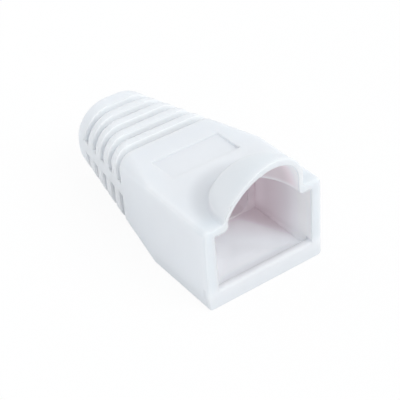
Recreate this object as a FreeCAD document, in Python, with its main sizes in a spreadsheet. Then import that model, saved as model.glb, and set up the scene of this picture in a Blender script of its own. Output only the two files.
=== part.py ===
import FreeCAD, Part
import math
import os
import Sketcher
from FreeCAD import Placement, Rotation, Vector

# Driving dimensions
# Millimetres and degrees. The frame has +X to the right of the mouth, +Y from the mouth to the
# tail, +Z up. Its origin is the middle of the flat underside of the plug housing.

SIZES = {
    # Plug that the housing closes over, and the play round it
    "plug_width": 11.68,
    "plug_depth": 6.5,
    "plug_play": 0.06,
    # Rectangular housing
    "housing_length": 9.7,
    "side_wall": 1.2,
    "roof_wall": 0.96,
    "floor_wall": 1.05,
    "shoulder_wall": 0.2,
    "edge_radius": 0.45,
    # Lip that hooks under the plug at the mouth
    "lip_height": 1.1,
    "lip_depth": 0.85,
    "lip_radius": 0.3,
    # Hood over the plug's latch: an egg shape that leans forward
    "hood_inner_half_width": 4.4,
    "hood_inner_half_depth": 4.85,
    "hood_inner_height": 6.95,
    "hood_side_wall": 0.42,
    "hood_back_wall": 0.44,
    "hood_crown_wall": 1.24,
    "hood_lean_angle": 41.7,
    "hood_setback": 0.58,
    "hood_upright": 1.3,
    "hood_rim_lean_angle": 18.1,
    "hood_blend": 0.4,
    "hood_corner_chamfer": 0.4,
    # Tail that grips the cable
    "cable_diameter": 6.0,
    "cable_play": 0.1,
    "relief_play": 0.3,
    "tail_length": 18.53,
    "tail_side_wall": 1.58,
    "tail_top_wall": 1.39,
    "tail_under_wall": 1.38,
    "tail_top_radius": 4.1,
    "tail_under_radius": 4.4,
    "tail_end_chamfer": 0.45,
    "bore_end_chamfer": 0.3,
    # Narrowing chamber between the socket and the bore
    "shoulder_step": 0.9,
    "chamber_floor_step": 0.2,
    "chamber_roof_step": 0.3,
    "chamber_radius": 1.5,
    "chamber_length": 5.0,
    "chamber_taper_angle": 4.0,
    # Slots that let the tail bend, and the spines between them
    "slot_count": 5,
    "slot_width": 1.0,
    "slot_pitch": 2.1,
    "end_ring": 2.23,
    "spine_height": 1.58,
    "spine_rise": 0.66,
    # Plain sunk panel on top
    "panel_width": 8.3,
    "panel_length": 3.8,
    "panel_depth": 0.33,
    "panel_gap": 0.25,
}

# Dimensions that follow from the driving ones
FORMULAS = {
    "ground": "0",
    "socket_width": "plug_width + 2 * plug_play",
    "socket_left": "-socket_width / 2",
    "socket_right": "socket_width / 2",
    "lip_top": "floor_wall + lip_height",
    "ceiling": "lip_top + plug_depth + 2 * plug_play",
    "housing_width": "socket_width + 2 * side_wall",
    "housing_height": "ceiling + roof_wall",
    "mouth_y": "-housing_length / 2",
    "shoulder_y": "housing_length / 2",
    "lip_back_y": "mouth_y + lip_depth",
    "socket_back_y": "shoulder_y - shoulder_wall",
    "tail_end_y": "shoulder_y + tail_length",
    "bore_diameter": "cable_diameter + 2 * cable_play",
    "relief_diameter": "cable_diameter + 2 * relief_play",
    "bore_height": "tail_under_wall + bore_diameter / 2",
    "tail_width": "bore_diameter + 2 * tail_side_wall",
    "tail_height": "bore_diameter + tail_under_wall + tail_top_wall",
    "chamber_end_y": "socket_back_y + chamber_length",
    "chamber_base": "floor_wall + chamber_floor_step",
    "chamber_width": "socket_width - 2 * shoulder_step",
    "chamber_height": "ceiling - chamber_roof_step - chamber_base",
    "spine_middle": "bore_height + spine_rise",
    "spine_top": "spine_middle + spine_height / 2",
    "spine_bottom": "spine_middle - spine_height / 2",
    "slot_far_y": "tail_end_y - end_ring",
    "slot_near_y": "slot_far_y - slot_width",
    "over_top": "2 * housing_height",
    "under_floor": "-housing_height",
    "hood_y": "mouth_y + hood_setback",
    "hood_half_width": "hood_inner_half_width + hood_side_wall",
    "hood_half_depth": "hood_inner_half_depth + hood_back_wall",
    "hood_height": "hood_inner_height + hood_crown_wall",
    "hood_knee": "ceiling + hood_upright",
    "trim_top": "ceiling + 2 * hood_height",
    "stock_front_y": "mouth_y - hood_height - hood_half_depth",
    "trim_front_y": "stock_front_y - hood_half_depth",
    "panel_left": "-panel_width / 2",
    "panel_right": "panel_width / 2",
    "panel_near_y": "shoulder_y - panel_gap",
    "panel_far_y": "panel_near_y + panel_length",
    "panel_floor": "housing_height - panel_depth",
}

NODE = "boot"

# Words of a sketch: an edge's two ends and middle, and the sketch's own origin and upright axis
START, END, MIDDLE = range(1, 4)
ORIGIN, UPRIGHT_AXIS = range(-1, -3, -1)

# How near an edge lies to a place that it is looked for at
NEAR = 0.001


def make_sheet(doc):
    """Puts the driving dimensions, and the ones that follow, into one spreadsheet."""
    sheet = doc.addObject("Spreadsheet::Sheet", "sizes")
    entries = [(name, str(value)) for name, value in SIZES.items()]
    entries += [(name, "=" + formula) for name, formula in FORMULAS.items()]
    for row, (name, text) in enumerate(entries, start=1):
        sheet.set("A%d" % row, name)
        sheet.set("B%d" % row, text)
        sheet.setAlias("B%d" % row, name)
    doc.recompute()
    return sheet


def size(sheet, name):
    """Present value of a dimension."""
    return float(sheet.get(name))


def origin_part(body, role):
    """One of the body's own origin planes or axes."""
    return next(item for item in body.Origin.OriginFeatures if item.Role == role)


def new_sketch(body, name, role, offset=None):
    """A sketch on an origin plane, moved along the plane's normal by a formula."""
    sketch = body.newObject("Sketcher::SketchObject", name)
    sketch.AttachmentSupport = [(origin_part(body, role), "")]
    sketch.MapMode = "FlatFace"
    if offset:
        sketch.setExpression("AttachmentOffset.Base.z", offset)
    return sketch


def cross_sketch(body, name, y):
    """A sketch across the boot at the named place y."""
    return new_sketch(body, name, "XZ_Plane", "-sizes." + y)


def bind(sketch, constraint, name, alias):
    """Adds a dimension to a sketch and ties it to the sheet."""
    index = sketch.addConstraint(constraint)
    sketch.renameConstraint(index, name)
    sketch.setExpression("Constraints." + name, "sizes." + alias)


def join_up(sketch, pieces, how):
    """Joins each piece of a closed outline to the next one."""
    for here, after in zip(pieces, pieces[1:] + pieces[:1]):
        sketch.addConstraint(Sketcher.Constraint(how, here, END, after, START))


def outline(sketch, points):
    """A closed outline of straight lines."""
    lines = []
    for start, end in zip(points, points[1:] + points[:1]):
        segment = Part.LineSegment(Vector(start[0], start[1], 0), Vector(end[0], end[1], 0))
        lines.append(sketch.addGeometry(segment, False))
    join_up(sketch, lines, "Coincident")
    return lines


def place(sketch, sheet, line, along, alias):
    """Puts the start of a line at a named distance from the sketch's origin."""
    constraint = Sketcher.Constraint(along, ORIGIN, START, line, START, size(sheet, alias))
    bind(sketch, constraint, "%s_%d" % (alias, line), alias)


def window(sketch, sheet, left, right, low, high):
    """A rectangle between four named places."""
    x = [size(sheet, left), size(sheet, right)]
    y = [size(sheet, low), size(sheet, high)]
    base, far, crown, near = outline(sketch, [(x[0], y[0]), (x[1], y[0]), (x[1], y[1]), (x[0], y[1])])
    for level in (base, crown):
        sketch.addConstraint(Sketcher.Constraint("Horizontal", level))
    for upright in (far, near):
        sketch.addConstraint(Sketcher.Constraint("Vertical", upright))
    place(sketch, sheet, near, "DistanceX", left)
    place(sketch, sheet, far, "DistanceX", right)
    place(sketch, sheet, base, "DistanceY", low)
    place(sketch, sheet, crown, "DistanceY", high)


def rounded_section(body, sheet, name, y, base, width, height, top_radius, under_radius):
    """A rounded rectangle across the boot at the place y, its underside at the height base."""
    sketch = cross_sketch(body, name, y)
    half = size(sheet, width) / 2
    low = size(sheet, base)
    high = low + size(sheet, height)
    top = size(sheet, top_radius)
    under = size(sheet, under_radius)

    def corner(x, z, radius, quadrant):
        circle = Part.Circle(Vector(x, z, 0), Vector(0, 0, 1), radius)
        arc = Part.ArcOfCircle(circle, quadrant * math.pi / 2, (quadrant + 1) * math.pi / 2)
        return sketch.addGeometry(arc, False)

    def side(start_x, start_z, end_x, end_z):
        line = Part.LineSegment(Vector(start_x, start_z, 0), Vector(end_x, end_z, 0))
        return sketch.addGeometry(line, False)

    floor = side(under - half, low, half - under, low)
    low_right = corner(half - under, low + under, under, -1)
    right = side(half, low + under, half, high - top)
    high_right = corner(half - top, high - top, top, 0)
    roof = side(half - top, high, top - half, high)
    high_left = corner(top - half, high - top, top, 1)
    left = side(-half, high - top, -half, low + under)
    low_left = corner(under - half, low + under, under, 2)
    join_up(sketch, [floor, low_right, right, high_right, roof, high_left, left, low_left], "Tangent")
    sketch.addConstraint(Sketcher.Constraint("Horizontal", roof))
    sketch.addConstraint(Sketcher.Constraint("Vertical", right))
    sketch.addConstraint(Sketcher.Constraint("Symmetric", floor, START, floor, END, UPRIGHT_AXIS))
    sketch.addConstraint(Sketcher.Constraint("Equal", high_left, high_right))
    sketch.addConstraint(Sketcher.Constraint("Equal", low_left, low_right))
    place(sketch, sheet, floor, "DistanceY", base)
    bind(sketch, Sketcher.Constraint("DistanceX", left, START, right, START, 2 * half), "width", width)
    rise = Sketcher.Constraint("DistanceY", floor, START, roof, START, high - low)
    bind(sketch, rise, "height", height)
    bind(sketch, Sketcher.Constraint("Radius", high_right, top), "top_radius", top_radius)
    bind(sketch, Sketcher.Constraint("Radius", low_right, under), "under_radius", under_radius)
    return sketch


def bore_section(body, sheet, name, y, diameter):
    """A circle round the cable's axis at the place y."""
    sketch = cross_sketch(body, name, y)
    radius = size(sheet, diameter) / 2
    height = size(sheet, "bore_height")
    ring = sketch.addGeometry(Part.Circle(Vector(0, height, 0), Vector(0, 0, 1), radius), False)
    sketch.addConstraint(Sketcher.Constraint("PointOnObject", ring, MIDDLE, UPRIGHT_AXIS))
    rise = Sketcher.Constraint("DistanceY", ORIGIN, START, ring, MIDDLE, height)
    bind(sketch, rise, "height", "bore_height")
    bind(sketch, Sketcher.Constraint("Diameter", ring, 2 * radius), "diameter", diameter)
    return sketch


def loft(body, kind, name, sections):
    """A straight-sided skin through sketches that lie one behind the other."""
    form = body.newObject(kind, name)
    form.Profile = sections[0]
    form.Sections = sections[1:]
    form.Ruled = True


def pocket(body, name, sketch, length=None, both_ways=False, upward=False):
    """Cuts a sketch's outline away, to a formula's depth or right through."""
    cut = body.newObject("PartDesign::Pocket", name)
    cut.Profile = sketch
    if length:
        cut.Type = "Length"
        cut.setExpression("Length", length)
    else:
        cut.Type = "ThroughAll"
    if both_ways:
        cut.SideType = "Symmetric"
    cut.Reversed = upward
    return cut


def edges_where(shape, test):
    """Names of the edges that pass the test."""
    return ["Edge%d" % number for number, edge in enumerate(shape.Edges, start=1) if test(edge)]


def points_along(edge):
    """Both ends and the middle of an edge."""
    first, last = edge.ParameterRange
    return [edge.valueAt(first), edge.valueAt((first + last) / 2), edge.valueAt(last)]


def all_near(edge, axis, value):
    """True where the whole edge lies at one place along an axis."""
    return all(abs(point[axis] - value) < NEAR for point in points_along(edge))


def is_straight(edge):
    """True where the edge's middle lies on the line between its ends."""
    start, middle, end = points_along(edge)
    return middle.distanceToLineSegment(start, end).Length < NEAR


def dress_edges(doc, body, kind, name, test, measure, alias):
    """Rounds or chamfers the edges that pass the test, by a size from the sheet."""
    doc.recompute()
    base = body.Tip
    names = edges_where(base.Shape, test)
    if not names:
        raise RuntimeError("no edges found for " + name)
    dressing = body.newObject(kind, name)
    dressing.Base = (base, names)
    dressing.setExpression(measure, "sizes." + alias)
    doc.recompute()


def round_edges(doc, body, name, test, radius):
    dress_edges(doc, body, "PartDesign::Fillet", name, test, "Radius", radius)


def chamfer_edges(doc, body, name, test, setback):
    dress_edges(doc, body, "PartDesign::Chamfer", name, test, "Size", setback)


def outer_form(body, sheet):
    """Housing and tail: one skin through three rounded sections, over-long at the front."""
    front = rounded_section(body, sheet, "front_section", "stock_front_y", "ground", "housing_width",
                            "housing_height", "edge_radius", "edge_radius")
    shoulder = rounded_section(body, sheet, "shoulder_section", "shoulder_y", "ground",
                               "housing_width", "housing_height", "edge_radius", "edge_radius")
    end = rounded_section(body, sheet, "tail_section", "tail_end_y", "ground", "tail_width",
                          "tail_height", "tail_top_radius", "tail_under_radius")
    loft(body, "PartDesign::AdditiveLoft", "outer_form", [front, shoulder, end])


def egg(body, kind, name, half_width, half_depth, height):
    """The hood's egg shape. Its middle lies at the ceiling, and its top leans forward."""
    form = body.newObject(kind, name)
    form.AttachmentSupport = [(origin_part(body, "XY_Plane"), "")]
    form.MapMode = "FlatFace"
    form.AttachmentOffset = Placement(Vector(0, 0, 0), Rotation(Vector(1, 0, 0), 1))
    form.setExpression("AttachmentOffset.Base.y", "sizes.hood_y")
    form.setExpression("AttachmentOffset.Base.z", "sizes.ceiling")
    form.setExpression("AttachmentOffset.Rotation.Angle", "sizes.hood_lean_angle * 1 deg")
    form.setExpression("Radius1", "sizes." + height)
    form.setExpression("Radius2", "sizes." + half_width)
    form.setExpression("Radius3", "sizes." + half_depth)


def trim_front(body, sheet):
    """Cuts the front to the mouth plane, and above the hood's knee to a plane leaning forward."""
    sketch = new_sketch(body, "front_line", "YZ_Plane")
    mouth = size(sheet, "mouth_y")
    knee = size(sheet, "hood_knee")
    high = size(sheet, "trim_top")
    far = size(sheet, "trim_front_y")
    low = size(sheet, "under_floor")
    lean = math.radians(size(sheet, "hood_rim_lean_angle"))
    crown_y = mouth - (high - knee) * math.tan(lean)
    points = [(mouth, low), (mouth, knee), (crown_y, high), (far, high), (far, low)]
    upright, slope, crown, front, base = outline(sketch, points)
    sketch.addConstraint(Sketcher.Constraint("Vertical", upright))
    sketch.addConstraint(Sketcher.Constraint("Horizontal", crown))
    sketch.addConstraint(Sketcher.Constraint("Vertical", front))
    sketch.addConstraint(Sketcher.Constraint("Horizontal", base))
    place(sketch, sheet, upright, "DistanceX", "mouth_y")
    place(sketch, sheet, upright, "DistanceY", "under_floor")
    place(sketch, sheet, slope, "DistanceY", "hood_knee")
    place(sketch, sheet, crown, "DistanceY", "trim_top")
    place(sketch, sheet, front, "DistanceX", "trim_front_y")
    turn = Sketcher.Constraint("Angle", slope, START, upright, END, math.pi - lean)
    index = sketch.addConstraint(turn)
    sketch.renameConstraint(index, "lean")
    sketch.setExpression("Constraints.lean", "(180 - sizes.hood_rim_lean_angle) * 1 deg")
    pocket(body, "front_trim", sketch, both_ways=True)


def hood(doc, body, sheet):
    """Egg-shaped hood on the roof, blended into it."""
    egg(body, "PartDesign::AdditiveEllipsoid", "hood_form", "hood_half_width", "hood_half_depth",
        "hood_height")
    roof = size(sheet, "housing_height")
    round_edges(doc, body, "hood_foot_blend",
                lambda edge: all_near(edge, 2, roof) and not is_straight(edge), "hood_blend")


def socket(doc, body, sheet):
    """Space for the plug, with a lip left standing at the mouth, and the hollow of the hood."""
    mouth = cross_sketch(body, "mouth_opening", "mouth_y")
    window(mouth, sheet, "socket_left", "socket_right", "lip_top", "ceiling")
    pocket(body, "mouth", mouth, "sizes.socket_back_y - sizes.mouth_y")
    inside = cross_sketch(body, "socket_section", "lip_back_y")
    window(inside, sheet, "socket_left", "socket_right", "floor_wall", "ceiling")
    pocket(body, "plug_socket", inside, "sizes.socket_back_y - sizes.lip_back_y")
    egg(body, "PartDesign::SubtractiveEllipsoid", "hood_hollow", "hood_inner_half_width",
        "hood_inner_half_depth", "hood_inner_height")
    lip = size(sheet, "lip_top")
    front = size(sheet, "mouth_y")
    round_edges(doc, body, "lip_rounding",
                lambda edge: all_near(edge, 1, front) and all_near(edge, 2, lip), "lip_radius")
    roof = size(sheet, "ceiling")
    chamfer_edges(doc, body, "hood_corner",
                  lambda edge: all_near(edge, 2, roof) and not is_straight(edge), "hood_corner_chamfer")


def cable_way(body, sheet):
    """Narrowing chamber behind the socket, the bore that the cable leaves by, and its relief."""
    wide = rounded_section(body, sheet, "chamber_mouth", "socket_back_y", "chamber_base",
                           "chamber_width", "chamber_height", "chamber_radius", "chamber_radius")
    chamber = pocket(body, "cable_chamber", wide, "sizes.chamber_length")
    chamber.setExpression("TaperAngle", "-sizes.chamber_taper_angle * 1 deg")
    bore = bore_section(body, sheet, "bore_circle", "tail_end_y", "bore_diameter")
    pocket(body, "cable_bore", bore, "sizes.tail_end_y - sizes.chamber_end_y", upward=True)
    relief = bore_section(body, sheet, "relief_circle", "slot_far_y", "relief_diameter")
    pocket(body, "bore_relief", relief, "sizes.slot_far_y - sizes.chamber_end_y", upward=True)


def ease_tail_end(doc, body, sheet):
    """Chamfers the tail's end, outside and at the bore."""
    end = size(sheet, "tail_end_y")
    axis = Vector(0, end, size(sheet, "bore_height"))
    radius = size(sheet, "bore_diameter") / 2

    def on_bore(edge):
        return all(abs(point.distanceToPoint(axis) - radius) < NEAR for point in points_along(edge))

    chamfer_edges(doc, body, "tail_end_edge",
                  lambda edge: all_near(edge, 1, end) and not on_bore(edge), "tail_end_chamfer")
    chamfer_edges(doc, body, "bore_end_edge",
                  lambda edge: all_near(edge, 1, end) and on_bore(edge), "bore_end_chamfer")


def slots(doc, body, sheet):
    """Cross slots over and under the tail, with a solid spine left along each side."""
    sketch = new_sketch(body, "slot_pair", "YZ_Plane")
    window(sketch, sheet, "slot_near_y", "slot_far_y", "spine_top", "over_top")
    window(sketch, sheet, "slot_near_y", "slot_far_y", "under_floor", "spine_bottom")
    first = pocket(body, "end_slots", sketch, both_ways=True)
    doc.recompute()
    row = body.newObject("PartDesign::LinearPattern", "slot_row")
    row.Originals = [first]
    row.Direction = (origin_part(body, "Y_Axis"), [""])
    row.Reversed = True
    row.Mode = "Spacing"
    row.setExpression("Offset", "sizes.slot_pitch")
    row.setExpression("Occurrences", "sizes.slot_count")
    body.Tip = row
    doc.recompute()


def panel(body, sheet):
    """Shallow sunk panel with a level floor, let into the top behind the hood."""
    sketch = new_sketch(body, "panel_outline", "XY_Plane", "sizes.panel_floor")
    window(sketch, sheet, "panel_left", "panel_right", "panel_near_y", "panel_far_y")
    pocket(body, "sunk_panel", sketch, upward=True)


def check(doc, body):
    """Stops if any object failed, or the boot is not one sound solid."""
    for item in doc.Objects:
        if "Invalid" in item.State or "Error" in item.State:
            raise RuntimeError("%s failed: %s" % (item.Name, item.State))
    shape = body.Shape
    if shape.isNull() or not shape.isValid() or len(shape.Solids) != 1:
        raise RuntimeError("%s is not one sound solid" % body.Label)


def main():
    doc = FreeCAD.newDocument("strain_relief_boot")
    sheet = make_sheet(doc)
    body = doc.addObject("PartDesign::Body", NODE)
    body.Label = NODE
    outer_form(body, sheet)
    hood(doc, body, sheet)
    trim_front(body, sheet)
    socket(doc, body, sheet)
    cable_way(body, sheet)
    panel(body, sheet)
    ease_tail_end(doc, body, sheet)
    slots(doc, body, sheet)
    doc.recompute()
    check(doc, body)
    os.makedirs("parts", exist_ok=True)
    body.Shape.exportStep("parts/%s.step" % body.Label)


main()
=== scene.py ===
"""Soft white strain relief boot for a network cable's plug, on a plain pale floor."""

import math

import bmesh
import bpy
from bpy.props import FloatProperty, FloatVectorProperty, PointerProperty
from bpy.types import Operator, Panel, PropertyGroup
from mathutils import Matrix, Vector


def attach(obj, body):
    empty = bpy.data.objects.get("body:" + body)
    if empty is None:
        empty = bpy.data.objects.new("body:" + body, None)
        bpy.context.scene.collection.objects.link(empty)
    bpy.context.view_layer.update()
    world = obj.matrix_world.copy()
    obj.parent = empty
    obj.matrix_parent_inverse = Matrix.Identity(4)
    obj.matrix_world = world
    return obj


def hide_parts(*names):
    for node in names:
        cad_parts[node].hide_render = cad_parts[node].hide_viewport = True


bl_info = {
    "name": "Strain Relief Boot",
    "version": (1, 0, 0),
    "blender": (4, 5, 0),
    "location": "View3D > Sidebar > Boot",
    "description": "Moulds the boot's skin over its solid and sets up a pale studio",
    "category": "Object",
}

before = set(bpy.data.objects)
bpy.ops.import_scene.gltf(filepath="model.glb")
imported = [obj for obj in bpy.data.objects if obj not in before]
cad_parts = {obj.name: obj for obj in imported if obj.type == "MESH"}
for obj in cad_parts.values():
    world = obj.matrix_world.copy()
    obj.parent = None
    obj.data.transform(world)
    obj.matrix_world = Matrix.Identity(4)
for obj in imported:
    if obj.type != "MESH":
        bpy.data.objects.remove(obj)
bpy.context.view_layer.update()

MM = 0.001
BLACK = (0.0, 0.0, 0.0, 1.0)
WHITE = (1.0, 1.0, 1.0, 1.0)

# Places on the boot, in millimetres from the middle of the housing's underside
MOUTH_Y = -4.85
LIP_BACK_Y = -4.0
LIP_TOP = 2.15
SOCKET_BACK_Y = 4.65
SOCKET_HALF_WIDTH = 5.9
SOCKET_FLOOR = 1.05
CEILING = 8.77
CHAMBER_END_Y = 9.65
CHAMBER_HALF_WIDTH = 5.0
CHAMBER_FLOOR = 1.25
CHAMBER_ROOF = 8.47
SHOULDER_Y = 10.5
RIDGE_HALF_WIDTH = 6.0
SLOTS_START_Y = 11.5
SLOTS_END_Y = 21.4
BORE_HEIGHT = 4.48
BORE_RADIUS = 3.3

# Hood, hollowed by an egg with its middle over the mouth: half width, half depth and height in
# millimetres, and the lean in degrees
HOOD_Y = -4.27
HOOD_HOLLOW = (4.4, 4.85, 6.95)
HOOD_LEAN = 41.7
HOOD_FOOT = 9.6
HOOD_FOOT_HALF_WIDTH = 5.4
HOOD_CREASE = 10.2
HOOD_KNEE = 10.07
HOOD_ROUND_FROM = 12.0

# How far the hood's rim runs forward for each millimetre above its knee
RIM_SLOPE = 0.327

# Reach of the hood's egg between its inner and its outer surface
HOOD_WALL_REACH = 1.08

# Distance over which a mask fades at a wall
WALL_SKIN = 0.12

# Slack in telling which face a corner is on, and the finer one at the mouth's face
SLACK = 0.1
MOUTH_SLACK = 0.02

# Corners sharper than the first angle are rounded, and facets under the second one are merged
CORNER_ANGLE = math.radians(35)
FLAT_ANGLE = math.radians(0.5)
MERGE_DISTANCE = 0.001 * MM

# Rounding of every other corner, as a share of the long ridges' rounding
CRISP_SHARE = 0.45

# Share of black in each painted shade
SIDE_SHADE = 0.11
STEP_SHADE = 0.1
HOOD_SHADE = 0.18
FOOT_SHADE = 0.12
LIP_SHADE = 0.08

# Strength of the random specks, of the painted shade behind the lip and of the painted light on the slot
# walls, and the share of the inner glow that is missing in the lip's shadow
SPECK_TINT = 0.35
BEHIND_LIP_SHADE = 0.3
LEE_DIMMING = 0.45
SLOT_PAINTED_LIGHT = 0.6

# Size of each noise, in waves per millimetre, and the height of each bump in millimetres
CLOUD_SCALE = 0.35
SPECK_SCALE = 3.2
DULLNESS_SCALE = 1.4
WAVE_SCALE = 0.8
GRAIN_SCALE = 9.0
WAVE_HEIGHT = 0.05
GRAIN_HEIGHT = 0.012
WAVE_STRENGTH = 0.25

# Plastic: spread of its roughness, its gloss, and how far light travels under its skin
DULLNESS_RANGE = 0.1
REFRACTION = 1.47
GLOSS = 0.15
SKIN_REACH = 1.8
SKIN_COLOUR_REACH = (0.93, 0.9, 0.9)
THIN_WALL_FIRMNESS = 0.55

# Studio: the floor's half width in metres, its clouds in waves per millimetre, the colours, and the
# sun's direction and spread
FLOOR_HALF_WIDTH = 3.0
FLOOR_CLOUD_SCALE = 0.02
FLOOR_DARK = (0.92, 0.92, 0.92, 1.0)
FLOOR_LIGHT = (0.95, 0.95, 0.95, 1.0)
SKY_COLOUR = (0.96, 0.98, 1.0, 1.0)
KEY_COLOUR = (1.0, 0.99, 0.98)
TOWARD_KEY = (0.33, -0.62, 0.71)
KEY_SPREAD = math.radians(40)

# Camera: its azimuth, elevation and roll in degrees, and where it sees the middle of the housing's
# lower front edge: to the right, down and away, in millimetres
CAMERA_TURN = (-33.147, 36.792, -4.263)
EDGE_SEEN = (6.763, 8.264, 125.867)
CAMERA_LENS = 112.5


# Shader maths

class Value:
    """A socket's output that adds Math nodes as it is used in an expression."""

    def __init__(self, nodes, socket):
        self.nodes = nodes
        self.socket = socket

    def _join(self, operation, first, second=None):
        inputs = {0: first}
        if second is not None:
            inputs[1] = second
        return self.nodes.add("ShaderNodeMath", {"operation": operation}, inputs)

    def __add__(self, other):
        return self._join("ADD", self, other)

    def __radd__(self, other):
        return self._join("ADD", other, self)

    def __sub__(self, other):
        return self._join("SUBTRACT", self, other)

    def __rsub__(self, other):
        return self._join("SUBTRACT", other, self)

    def __mul__(self, other):
        return self._join("MULTIPLY", self, other)

    def __rmul__(self, other):
        return self._join("MULTIPLY", other, self)

    def __truediv__(self, other):
        return self._join("DIVIDE", self, other)

    def __abs__(self):
        return self._join("ABSOLUTE", self)

    def __pow__(self, other):
        return self._join("POWER", self, other)

    def maximum(self, other):
        return self._join("MAXIMUM", self, other)

    def ramp(self, low, high):
        """0 below low, 1 above high, and a smooth rise between them. High may be the lower one."""
        settings = {"interpolation_type": "SMOOTHSTEP"}
        start, end, rise = (low, high, (0.0, 1.0)) if low < high else (high, low, (1.0, 0.0))
        inputs = {"Value": self, "From Min": start, "From Max": end, "To Min": rise[0], "To Max": rise[1]}
        return self.nodes.add("ShaderNodeMapRange", settings, inputs)


class Nodes:
    """The nodes of a material or world, added one at a time by type, settings and inputs."""

    def __init__(self, owner):
        owner.use_nodes = True
        self.tree = owner.node_tree
        self.tree.nodes.clear()

    def add(self, kind, settings=None, inputs=None, output=0):
        node = self.tree.nodes.new(kind)
        for name, value in (settings or {}).items():
            setattr(node, name, value)
        for name, value in (inputs or {}).items():
            if isinstance(value, Value):
                self.tree.links.new(value.socket, node.inputs[name])
            else:
                node.inputs[name].default_value = value
        return Value(self, node.outputs[output])

    def mix(self, factor, low, high):
        """Colour between low and high, by the factor."""
        settings = {"data_type": "RGBA", "blend_type": "MIX", "clamp_factor": True}
        return self.add("ShaderNodeMix", settings, {0: factor, 6: low, 7: high}, output=2)

    def noise(self, place, scale, detail=2.0, roughness=0.5):
        inputs = {"Vector": place, "Scale": scale, "Detail": detail, "Roughness": roughness}
        return self.add("ShaderNodeTexNoise", {"noise_dimensions": "3D"}, inputs)

    def surface(self, kind, shader):
        """Feeds the shader to a new output node of the tree."""
        node = self.tree.nodes.new(kind)
        self.tree.links.new(shader.socket, node.inputs["Surface"])

    def parts(self, vector):
        """The three parts of a vector, as values."""
        node = self.tree.nodes.new("ShaderNodeSeparateXYZ")
        self.tree.links.new(vector.socket, node.inputs[0])
        return [Value(self, node.outputs[number]) for number in range(3)]


def place_in_mm(nodes):
    """Object coordinates as a vector in millimetres, and its three parts."""
    coordinates = nodes.add("ShaderNodeTexCoord", output=3)
    vector = nodes.add("ShaderNodeVectorMath", {"operation": "SCALE"}, {0: coordinates, "Scale": 1 / MM})
    return vector, nodes.parts(vector)


def within(value, low, high):
    """1 from low to high, falling to 0 just outside them."""
    rise = value.ramp(low - 2 * WALL_SKIN, low - WALL_SKIN)
    return rise * value.ramp(high + 2 * WALL_SKIN, high + WALL_SKIN)


def hood_reach(x, y, z):
    """How far out of the hood's hollow a place lies: 1 on the hollow's own egg, more outside it."""
    lean = math.radians(HOOD_LEAN)
    back = y - HOOD_Y
    up = z - CEILING
    out = back * math.cos(lean) + up * math.sin(lean)
    rise = up * math.cos(lean) - back * math.sin(lean)
    half_width, half_depth, height = HOOD_HOLLOW
    return (x / half_width) ** 2.0 + (out / half_depth) ** 2.0 + (rise / height) ** 2.0


def inside_mask(x, y, z):
    """1 on all the walls inside the boot, 0 on its outer surfaces."""
    aside = abs(x)
    socket = within(aside, -1.0, SOCKET_HALF_WIDTH) * within(z, SOCKET_FLOOR, CEILING)
    socket = socket * y.ramp(SOCKET_BACK_Y + 2 * WALL_SKIN, SOCKET_BACK_Y + WALL_SKIN)
    socket = socket * y.ramp(MOUTH_Y + 0.05, MOUTH_Y + 0.25)
    chamber = within(aside, -1.0, CHAMBER_HALF_WIDTH) * within(z, CHAMBER_FLOOR, CHAMBER_ROOF)
    chamber = chamber * within(y, SOCKET_BACK_Y, CHAMBER_END_Y)
    reach = x ** 2.0 + (z - BORE_HEIGHT) ** 2.0
    bore = reach.ramp((BORE_RADIUS + 2 * WALL_SKIN) ** 2, (BORE_RADIUS + WALL_SKIN) ** 2)
    bore = bore * y.ramp(CHAMBER_END_Y - 2 * WALL_SKIN, CHAMBER_END_Y - WALL_SKIN)
    rim = MOUTH_Y - RIM_SLOPE * (z - HOOD_KNEE).maximum(0.0)
    hollow = hood_reach(x, y, z).ramp(1.1, 1.05) * z.ramp(CEILING - WALL_SKIN, CEILING)
    hollow = hollow * (y - rim).ramp(0.03, 0.2)
    return socket.maximum(hollow).maximum(chamber.maximum(bore))


def lip_mask(y, z):
    """1 on the lip, 0 behind it and above it."""
    return y.ramp(LIP_BACK_Y + 0.2, LIP_BACK_Y + 0.05) * z.ramp(LIP_TOP + 0.3, LIP_TOP + 0.1)


def behind_lip_shade_mask(x, y, z):
    """Painted shade on the floor just behind the lip: 1 there, 0 at the lip's ends and further in."""
    lee = z.ramp(LIP_TOP + 0.1, LIP_TOP - 0.2) * y.ramp(MOUTH_Y + 3.0, MOUTH_Y + 2.0)
    return lee * abs(x).ramp(5.5, 3.0)


def hood_mask(z):
    """0 up to the socket's ceiling, 1 from a millimetre above it."""
    return z.ramp(CEILING, CEILING + 1.0)


def floor_mask(z):
    """1 on the socket's floor, 0 above it."""
    return z.ramp(SOCKET_FLOOR + 1.2, SOCKET_FLOOR + 0.4)


def depth_mask(x, y, z):
    """0 on the inner walls near the mouth, 1 deep in the socket, in the chamber and in the hood."""
    depth = (abs(x) + 0.8 * y).ramp(1.5, 8.0)
    depth = depth.maximum(y.ramp(SOCKET_BACK_Y - 0.3, SOCKET_BACK_Y + 0.6))
    return depth.maximum(hood_mask(z) * y.ramp(MOUTH_Y - 0.3, MOUTH_Y + 1.5))


def floor_light_mask(x, y, z):
    """1 on the floor's back half, where most light comes through it, 0 in its back corners."""
    past_front = (y + 0.9 * abs(x)).ramp(0.6, 2.2)
    off_corners = (abs(x) + 0.4 * y).ramp(5.8, 4.4)
    off_back = y.ramp(SOCKET_BACK_Y + 0.9, SOCKET_BACK_Y - 1.6)
    return floor_mask(z) * past_front * off_corners * off_back


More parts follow.
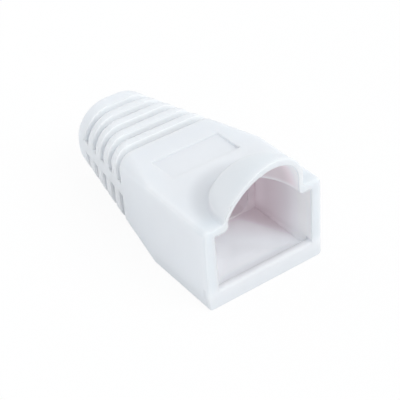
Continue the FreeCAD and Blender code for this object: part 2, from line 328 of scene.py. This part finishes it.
def face_shade_mask(y, z):
    """Where painted shade darkens the plastic: 1 on the front of the mouth's frame, above the lip, on the
    roof's front and on the hood.
    """
    sides = y.ramp(MOUTH_Y + 0.5, MOUTH_Y + 0.1) * z.ramp(1.6, 3.0)
    roof = y.ramp(MOUTH_Y + 3.0, MOUTH_Y + 0.5) * z.ramp(CEILING, CEILING + 0.8)
    return sides.maximum(roof).maximum(z.ramp(HOOD_CREASE - 0.3, HOOD_CREASE + 0.3))


def inner_shade(x, y, z):
    """Painted shade, as a share of black, on the side walls half way in, on the step round the chamber and
    in the hood.
    """
    side = abs(x).ramp(5.2, 5.6) * y.ramp(MOUTH_Y + 2.0, MOUTH_Y + 4.5) * z.ramp(1.3, 2.0)
    side = side * y.ramp(SOCKET_BACK_Y - 0.6, SOCKET_BACK_Y - 2.4)
    step = y.ramp(SOCKET_BACK_Y - 0.4, SOCKET_BACK_Y - 0.1)
    step = step * y.ramp(SOCKET_BACK_Y + 0.3, SOCKET_BACK_Y + 0.1) * z.ramp(1.5, 3.0)
    hood = hood_mask(z) * y.ramp(MOUTH_Y + 0.8, MOUTH_Y + 2.4)
    return (SIDE_SHADE * side).maximum(STEP_SHADE * step).maximum(HOOD_SHADE * hood)


def outer_shade(x, y, z):
    """Painted shade, as a share of black, on the roof beside the hood's foot and on the lip's back edge.
    """
    foot = hood_reach(x, y, z).ramp(2.5, 1.6) * y.ramp(MOUTH_Y + 0.4, MOUTH_Y + 3.2)
    foot = foot * z.ramp(HOOD_CREASE - 0.15, HOOD_CREASE - 0.45) * z.ramp(CEILING, CEILING + 0.6)
    lip_back = y.ramp(LIP_BACK_Y - 0.5, LIP_BACK_Y - 0.15) * z.ramp(SOCKET_FLOOR, SOCKET_FLOOR + 0.4)
    return (FOOT_SHADE * foot).maximum(LIP_SHADE * lip_mask(y, z) * lip_back)


def outer_colour(nodes, look, place, x, y, z):
    """A little cloudy and speckled, with painted shade on the front faces and the hood, in the creases
    beside the hood's foot and at the lip's back edge.
    """
    cloud = nodes.noise(place, CLOUD_SCALE, detail=3.0)
    speck = nodes.noise(place, SPECK_SCALE, detail=2.0)
    colour = nodes.mix(cloud, look.outer_dark, look.outer_light)
    colour = nodes.mix(speck.ramp(0.62, 0.8) * SPECK_TINT, colour, look.outer_dark)
    # Painted shade on the mouth's front, the roof's front and the hood
    colour = nodes.mix(face_shade_mask(y, z), colour, look.shaded_face_colour)
    # Painted shade beside the hood's foot and at the lip's back edge
    return nodes.mix(outer_shade(x, y, z), colour, BLACK)


def inner_colour(nodes, look, x, y, z):
    """Painted light on the inner walls near the mouth, turning into a painted pink shade with depth, and
    like the outer surface again towards the tail's end, with painted shade behind the lip, on the side
    walls, on the step and in the hood.
    """
    # Painted light near the mouth, turning into a painted pink shade deep inside
    colour = nodes.mix(depth_mask(x, y, z), look.inner_painted_light, look.inner_pink_shade)
    colour = nodes.mix(y.ramp(CHAMBER_END_Y + 2.0, SLOTS_END_Y), colour, look.outer_light)
    # Painted shade on the floor behind the lip
    colour = nodes.mix(behind_lip_shade_mask(x, y, z) * BEHIND_LIP_SHADE, colour, look.outer_dark)
    # Painted shade on the side walls, the step and in the hood
    return nodes.mix(inner_shade(x, y, z), colour, BLACK)


def inner_glow(nodes, look, inside, x, y, z):
    """Light that comes through the walls from outside, none at the mouth's lower front."""
    glow = nodes.mix(depth_mask(x, y, z), look.glow_front, look.glow_back)
    glow = nodes.mix(floor_light_mask(x, y, z), glow, look.glow_floor)
    past_lip = y.ramp(MOUTH_Y + 0.3, MOUTH_Y + 1.2).maximum(z.ramp(5.0, 7.5))
    lit = inside * past_lip * (1.0 - LEE_DIMMING * behind_lip_shade_mask(x, y, z))
    return nodes.mix(lit, BLACK, glow)


def moulded_normal(nodes, look, place):
    """The surface's direction, with softened edges, slow waves and a fine grain."""
    soft_edge = nodes.add("ShaderNodeBevel", {"samples": 6}, {"Radius": look.edge_softness})
    wave = nodes.noise(place, WAVE_SCALE, detail=1.0)
    wavy = nodes.add("ShaderNodeBump", None, {
        "Strength": WAVE_STRENGTH, "Distance": WAVE_HEIGHT * MM, "Height": wave, "Normal": soft_edge})
    grain = nodes.noise(place, GRAIN_SCALE, detail=3.0, roughness=0.6)
    return nodes.add("ShaderNodeBump", None, {
        "Strength": look.grain, "Distance": GRAIN_HEIGHT * MM, "Height": grain, "Normal": wavy})


def firmness(inside, y, z):
    """1 where a wall is backed too thickly for light to spread under its skin."""
    thick = floor_mask(z).maximum(z.ramp(CEILING, CEILING + 0.6))
    firm = inside * (THIN_WALL_FIRMNESS + (1.0 - THIN_WALL_FIRMNESS) * thick)
    firm = firm * y.ramp(CHAMBER_END_Y + 2.0, CHAMBER_END_Y)
    return firm.maximum(z.ramp(1.8, 0.7))


def soft_white(look):
    """Soft white moulded plastic: satin, a little cloudy, with less light spread under its skin inside,
    painted light and a painted pink shade inside, and painted shade on its front faces and in its creases.
    """
    material = bpy.data.materials.new("soft_white_moulding")
    nodes = Nodes(material)
    place, (x, y, z) = place_in_mm(nodes)
    inside = inside_mask(x, y, z) * (1.0 - lip_mask(y, z))
    slot = nodes.add("ShaderNodeAttribute", {"attribute_name": "slot_wall"}, output=2)
    slot = slot * z.ramp(7.0, 8.8)
    outer = outer_colour(nodes, look, place, x, y, z)
    colour = nodes.mix(inside, outer, inner_colour(nodes, look, x, y, z))
    # Painted light on the upper walls of the tail's slots
    colour = nodes.mix(slot * SLOT_PAINTED_LIGHT, colour, look.inner_painted_light)
    glow = nodes.mix(slot, inner_glow(nodes, look, inside, x, y, z), look.glow_slot)
    dullness = nodes.noise(place, DULLNESS_SCALE, detail=2.0)
    finish = {
        "Base Color": colour, "Emission Color": glow, "Emission Strength": 1.0,
        "Roughness": look.roughness - 0.5 * DULLNESS_RANGE + DULLNESS_RANGE * dullness,
        "Normal": moulded_normal(nodes, look, place), "IOR": REFRACTION, "Specular IOR Level": GLOSS}
    wall = nodes.add("ShaderNodeBsdfPrincipled", None, finish)
    finish.update({"Subsurface Weight": 1.0, "Subsurface Radius": SKIN_COLOUR_REACH,
                   "Subsurface Scale": SKIN_REACH * MM})
    skin = nodes.add("ShaderNodeBsdfPrincipled", None, finish)
    both = nodes.add("ShaderNodeMixShader", None, {0: firmness(inside, y, z), 1: skin, 2: wall})
    nodes.surface("ShaderNodeOutputMaterial", both)
    return material


# Settings that a user may change

class BootLook(PropertyGroup):
    outer_light: FloatVectorProperty(
        name="Outer, light", description="Lightest colour of the outer surface", subtype="COLOR", size=4,
        min=0.0, max=1.0, default=(0.806, 0.832, 0.86, 1.0))
    outer_dark: FloatVectorProperty(
        name="Outer, dark", description="Darkest colour of the outer surface", subtype="COLOR", size=4,
        min=0.0, max=1.0, default=(0.78, 0.804, 0.834, 1.0))
    # Painted shade on the mouth's front, the roof's front and the hood
    shaded_face_colour: FloatVectorProperty(
        name="Outer, face", description="Colour of the mouth's front and of the hood", subtype="COLOR",
        size=4, min=0.0, max=1.0, default=(0.729, 0.768, 0.801, 1.0))
    # Painted light on the inner walls near the mouth
    inner_painted_light: FloatVectorProperty(
        name="Inside, front", description="Colour of the inner walls near the mouth", subtype="COLOR",
        size=4, min=0.0, max=1.0, default=(0.92, 0.955, 0.975, 1.0))
    # Painted pink shade on the inner walls deep in the socket
    inner_pink_shade: FloatVectorProperty(
        name="Inside, back", description="Colour of the inner walls deep in the socket", subtype="COLOR",
        size=4, min=0.0, max=1.0, default=(0.95, 0.87, 0.905, 1.0))
    glow_front: FloatVectorProperty(
        name="Glow, front", description="Light that comes through the walls near the mouth",
        subtype="COLOR", size=4, min=0.0, max=1.0, default=(0.069, 0.073, 0.076, 1.0))
    glow_back: FloatVectorProperty(
        name="Glow, back", description="Light that comes through the walls deep in the socket",
        subtype="COLOR", size=4, min=0.0, max=1.0, default=(0.005, 0.0, 0.001, 1.0))
    glow_floor: FloatVectorProperty(
        name="Glow, floor", description="Light that comes through the floor, half way into the socket",
        subtype="COLOR", size=4, min=0.0, max=1.0, default=(0.13, 0.145, 0.15, 1.0))
    glow_slot: FloatVectorProperty(
        name="Glow, slots", description="Light that comes through the walls of the tail's upper slots",
        subtype="COLOR", size=4, min=0.0, max=1.0, default=(0.03, 0.032, 0.035, 1.0))
    roughness: FloatProperty(
        name="Roughness", description="How dull the plastic is", subtype="FACTOR",
        min=0.0, max=1.0, default=0.46)
    grain: FloatProperty(
        name="Grain", description="Depth of the fine grain", subtype="FACTOR",
        min=0.0, max=1.0, default=0.35)
    corner_radius: FloatProperty(
        name="Corner radius", description="Rounding of the two long ridges", subtype="DISTANCE",
        unit="LENGTH", min=0.0, max=0.0004, default=0.00031)
    edge_softness: FloatProperty(
        name="Edge softness", description="How far the light blends across every edge", subtype="DISTANCE",
        unit="LENGTH", min=0.0, max=0.0005, default=0.00016)


class StudioLook(PropertyGroup):
    sky_strength: FloatProperty(
        name="Sky", description="Strength of the even light from all round",
        min=0.0, max=3.0, default=0.86)
    key_strength: FloatProperty(
        name="Key light", description="Power of the sun lamp in front, above and to the right",
        min=0.0, max=10.0, default=0.85)
    floor_white: FloatProperty(
        name="Floor", description="Share of plain white in the floor that the camera sees",
        subtype="FACTOR", min=0.0, max=1.0, default=0.92)


# Pieces

def corner_share(place):
    """Share of the ridges' rounding that a corner gets, none where an inner edge stays crisp."""
    x, y, z = place / MM
    in_bore = y > CHAMBER_END_Y and math.hypot(x, z - BORE_HEIGHT) < BORE_RADIUS + SLACK
    at_chamber = SOCKET_BACK_Y - SLACK < y < CHAMBER_END_Y and abs(x) < SOCKET_HALF_WIDTH + SLACK
    at_chamber = at_chamber and SOCKET_FLOOR - SLACK < z < CEILING + SLACK
    at_ceiling = MOUTH_Y + MOUTH_SLACK < y < SOCKET_BACK_Y and abs(x) < SOCKET_HALF_WIDTH
    at_ceiling = at_ceiling and CEILING - SLACK < z < HOOD_FOOT
    if in_bore or at_chamber or at_ceiling:
        return 0.0
    if abs(x) > RIDGE_HALF_WIDTH and z > CEILING and y < SHOULDER_Y:
        return 1.0
    if y > MOUTH_Y + 2 * SLACK or z < CEILING + SLACK or abs(x) > HOOD_FOOT_HALF_WIDTH:
        return CRISP_SHARE
    if hood_reach(x, y, z) < HOOD_WALL_REACH:
        return 0.0
    return CRISP_SHARE * min(1.0, max(0.0, z - HOOD_ROUND_FROM))


def round_corners(skin, look):
    """Merges the solid's triangles, rounds its outer corners and marks the walls of the slots."""
    shape = bmesh.new()
    shape.from_mesh(skin.data)
    bmesh.ops.remove_doubles(shape, verts=shape.verts, dist=MERGE_DISTANCE)
    bmesh.ops.dissolve_limit(shape, angle_limit=FLAT_ANGLE, verts=shape.verts, edges=shape.edges)
    weight = shape.edges.layers.float.new("bevel_weight_edge")
    for edge in shape.edges:
        turn = edge.calc_face_angle_signed(0.0)
        if turn > CORNER_ANGLE:
            edge[weight] = min(corner_share(corner.co) for corner in edge.verts)
        edge.smooth = abs(turn) < CORNER_ANGLE or edge[weight] > 0.0
    slot_wall = shape.faces.layers.float.new("slot_wall")
    for face in shape.faces:
        face.smooth = True
        middle = face.calc_center_median() / MM
        faces_along = abs(face.normal.y) > 0.9
        face[slot_wall] = 1.0 if faces_along and SLOTS_START_Y < middle.y < SLOTS_END_Y else 0.0
    shape.to_mesh(skin.data)
    shape.free()
    rounding = skin.modifiers.new("rounding", "BEVEL")
    rounding.limit_method = "WEIGHT"
    rounding.width = look.corner_radius
    rounding.segments = 3
    rounding.use_clamp_overlap = False
    even = skin.modifiers.new("even_shading", "WEIGHTED_NORMAL")
    even.keep_sharp = True


class BOOT_OT_moulding(Operator):
    """Skins the boot's solid in soft white plastic"""

    bl_idname = "boot.moulding"
    bl_label = "Boot Moulding"

    def execute(self, context):
        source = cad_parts["boot"]
        mesh = source.data.copy()
        mesh.name = "moulded_boot"
        skin = bpy.data.objects.new("moulded_boot", mesh)
        context.scene.collection.objects.link(skin)
        round_corners(skin, context.scene.boot_look)
        mesh.materials.clear()
        mesh.materials.append(soft_white(context.scene.boot_look))
        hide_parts("boot")
        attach(skin, "root")
        return {"FINISHED"}


def pale_floor(look):
    """White to the camera, with the boot's soft shadow kept."""
    material = bpy.data.materials.new("pale_floor")
    nodes = Nodes(material)
    place, _ = place_in_mm(nodes)
    tone = nodes.mix(nodes.noise(place, FLOOR_CLOUD_SCALE), FLOOR_DARK, FLOOR_LIGHT)
    matt = nodes.add("ShaderNodeBsdfDiffuse", None, {"Color": tone, "Roughness": 0.5})
    white = nodes.add("ShaderNodeEmission", None, {"Color": WHITE, "Strength": 1.0})
    seen = nodes.add("ShaderNodeMixShader", None, {0: look.floor_white, 1: matt, 2: white})
    camera_ray = nodes.add("ShaderNodeLightPath", output=0)
    both = nodes.add("ShaderNodeMixShader", None, {0: camera_ray, 1: matt, 2: seen})
    nodes.surface("ShaderNodeOutputMaterial", both)
    return material


def studio_floor(scene, look):
    """A wide flat floor under the boot."""
    mesh = bpy.data.meshes.new("studio_floor")
    shape = bmesh.new()
    bmesh.ops.create_grid(shape, x_segments=1, y_segments=1, size=FLOOR_HALF_WIDTH)
    shape.to_mesh(mesh)
    shape.free()
    mesh.materials.append(pale_floor(look))
    floor = bpy.data.objects.new("studio_floor", mesh)
    scene.collection.objects.link(floor)
    return floor


def pale_sky(look):
    """Even light from all round, white to the camera."""
    world = bpy.data.worlds.new("pale_sky")
    nodes = Nodes(world)
    camera_ray = nodes.add("ShaderNodeLightPath", output=0)
    seen = nodes.add("ShaderNodeBackground", None, {"Color": WHITE, "Strength": 1.0})
    light = nodes.add("ShaderNodeBackground", None, {"Color": SKY_COLOUR, "Strength": look.sky_strength})
    both = nodes.add("ShaderNodeMixShader", None, {0: camera_ray, 1: light, 2: seen})
    nodes.surface("ShaderNodeOutputWorld", both)
    return world


def key_light(scene, look):
    """A wide sun lamp in front of the mouth, above it and to its right."""
    sun = bpy.data.lights.new("key_light", "SUN")
    sun.energy = look.key_strength
    sun.angle = KEY_SPREAD
    sun.color = KEY_COLOUR
    lamp = bpy.data.objects.new("key_light", sun)
    scene.collection.objects.link(lamp)
    lamp.rotation_euler = Vector(TOWARD_KEY).to_track_quat("Z", "Y").to_euler()


def camera_place():
    """Where the camera stands, from its turn and from where it sees the housing's front edge."""
    azimuth, elevation, roll = (math.radians(angle) for angle in CAMERA_TURN)
    back = Vector((math.sin(azimuth) * math.cos(elevation), -math.cos(azimuth) * math.cos(elevation),
                   math.sin(elevation)))
    level_right = (-back).cross(Vector((0, 0, 1))).normalized()
    level_up = level_right.cross(-back)
    right = math.cos(roll) * level_right + math.sin(roll) * level_up
    up = math.cos(roll) * level_up - math.sin(roll) * level_right
    across, down, away = EDGE_SEEN
    eye = -(across * right - down * up - away * back) + Vector((0, MOUTH_Y, 0))
    turn = Matrix((right, up, back)).transposed().to_4x4()
    return Matrix.Translation(eye * MM) @ turn


def photo_camera(scene):
    """A camera where the photograph was taken from."""
    camera = bpy.data.cameras.new("camera")
    camera.sensor_fit = "HORIZONTAL"
    camera.sensor_width = 36.0
    camera.lens = CAMERA_LENS
    camera.clip_start = 0.005
    camera.clip_end = 20.0
    stand = bpy.data.objects.new("camera", camera)
    scene.collection.objects.link(stand)
    stand.matrix_world = camera_place()
    return stand


class BOOT_OT_studio(Operator):
    """Lays the floor, hangs the lamps and stands the camera where the photograph was taken from"""

    bl_idname = "boot.studio"
    bl_label = "Studio"

    def execute(self, context):
        scene = context.scene
        look = scene.studio_look
        floor = studio_floor(scene, look)
        scene.world = pale_sky(look)
        key_light(scene, look)
        scene.camera = photo_camera(scene)
        scene.view_settings.view_transform = "Standard"
        return {"FINISHED"}


class BOOT_PT_panel(Panel):
    """Lists the boot's and the studio's settings, with the buttons that build them"""

    bl_idname = "BOOT_PT_panel"
    bl_label = "Strain Relief Boot"
    bl_space_type = "VIEW_3D"
    bl_region_type = "UI"
    bl_category = "Boot"

    def draw(self, context):
        column = self.layout.column(align=True)
        for name in BootLook.__annotations__:
            column.prop(context.scene.boot_look, name)
        column.operator(BOOT_OT_moulding.bl_idname)
        column.separator()
        for name in StudioLook.__annotations__:
            column.prop(context.scene.studio_look, name)
        column.operator(BOOT_OT_studio.bl_idname)


CLASSES = (BootLook, StudioLook, BOOT_OT_moulding, BOOT_OT_studio, BOOT_PT_panel)


def register():
    for item in CLASSES:
        bpy.utils.register_class(item)
    bpy.types.Scene.boot_look = PointerProperty(type=BootLook)
    bpy.types.Scene.studio_look = PointerProperty(type=StudioLook)


def unregister():
    del bpy.types.Scene.studio_look
    del bpy.types.Scene.boot_look
    for item in reversed(CLASSES):
        bpy.utils.unregister_class(item)


def main():
    register()
    bpy.ops.boot.moulding()
    bpy.ops.boot.studio()


if __name__ == "__main__":
    main()
